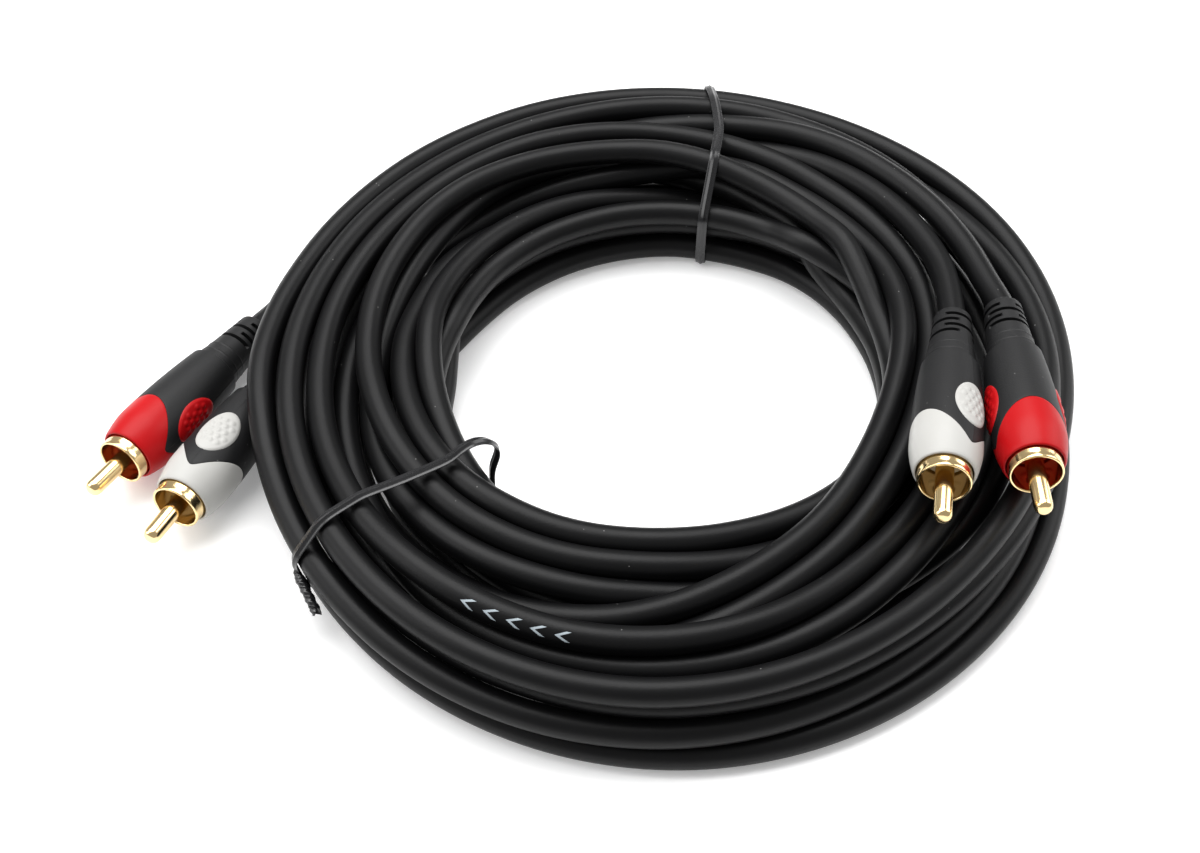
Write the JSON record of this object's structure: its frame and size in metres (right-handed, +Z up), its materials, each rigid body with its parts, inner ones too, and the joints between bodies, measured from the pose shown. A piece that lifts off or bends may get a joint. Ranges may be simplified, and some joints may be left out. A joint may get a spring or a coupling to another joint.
{
  "type": "stereo phono audio cable",
  "caption": "Stereo phono audio cable: black twin cord wound into a flat coil with twist ties, with red and white phono plugs on single tails at both ends.",
  "frame": {"origin": "centre of the whole cable's box, on the surface that it lies on", "axes": "+Z up from that surface; +X along the longest extent, towards the side of the coil that carries the plugs on top; -Y towards the viewer"},
  "size_m": [0.1812, 0.1548, 0.0318],
  "materials": {
    "jacket": "matte black soft plastic jacket with a grey sheen",
    "grip": "matte black moulded plastic",
    "red": "satin red moulded plastic",
    "white": "satin off-white moulded plastic",
    "gold": "polished pale gold plating",
    "natural": "natural insulating plastic",
    "copper": "bare copper",
    "tie": "semi-gloss black coated wire tie"
  },
  "bodies": {
    "root": {"left_red_centre_pin": "gold", "left_red_insulator": "red", "left_red_ground_shell": "gold", "left_red_sleeve_and_pads": "red", "left_red_grip_and_relief": "grip", "left_red_conductor": "copper", "left_red_dielectric": "natural", "left_red_shield_wire": "copper", "left_red_tail": "jacket", "left_white_centre_pin": "gold", "left_white_insulator": "natural", "left_white_ground_shell": "gold", "left_white_sleeve_and_pads": "white", "left_white_grip_and_relief": "grip", "left_white_conductor": "copper", "left_white_dielectric": "natural", "left_white_shield_wire": "copper", "left_white_tail": "jacket", "right_white_centre_pin": "gold", "right_white_insulator": "natural", "right_white_ground_shell": "gold", "right_white_sleeve_and_pads": "white", "right_white_grip_and_relief": "grip", "right_white_conductor": "copper", "right_white_dielectric": "natural", "right_white_shield_wire": "copper", "right_white_tail": "jacket", "right_red_centre_pin": "gold", "right_red_insulator": "red", "right_red_ground_shell": "gold", "right_red_sleeve_and_pads": "red", "right_red_grip_and_relief": "grip", "right_red_conductor": "copper", "right_red_dielectric": "natural", "right_red_shield_wire": "copper", "right_red_tail": "jacket", "twin_cord_coil": "jacket", "back_twist_tie": "tie", "front_twist_tie": "tie"}
  },
  "joints": []
}
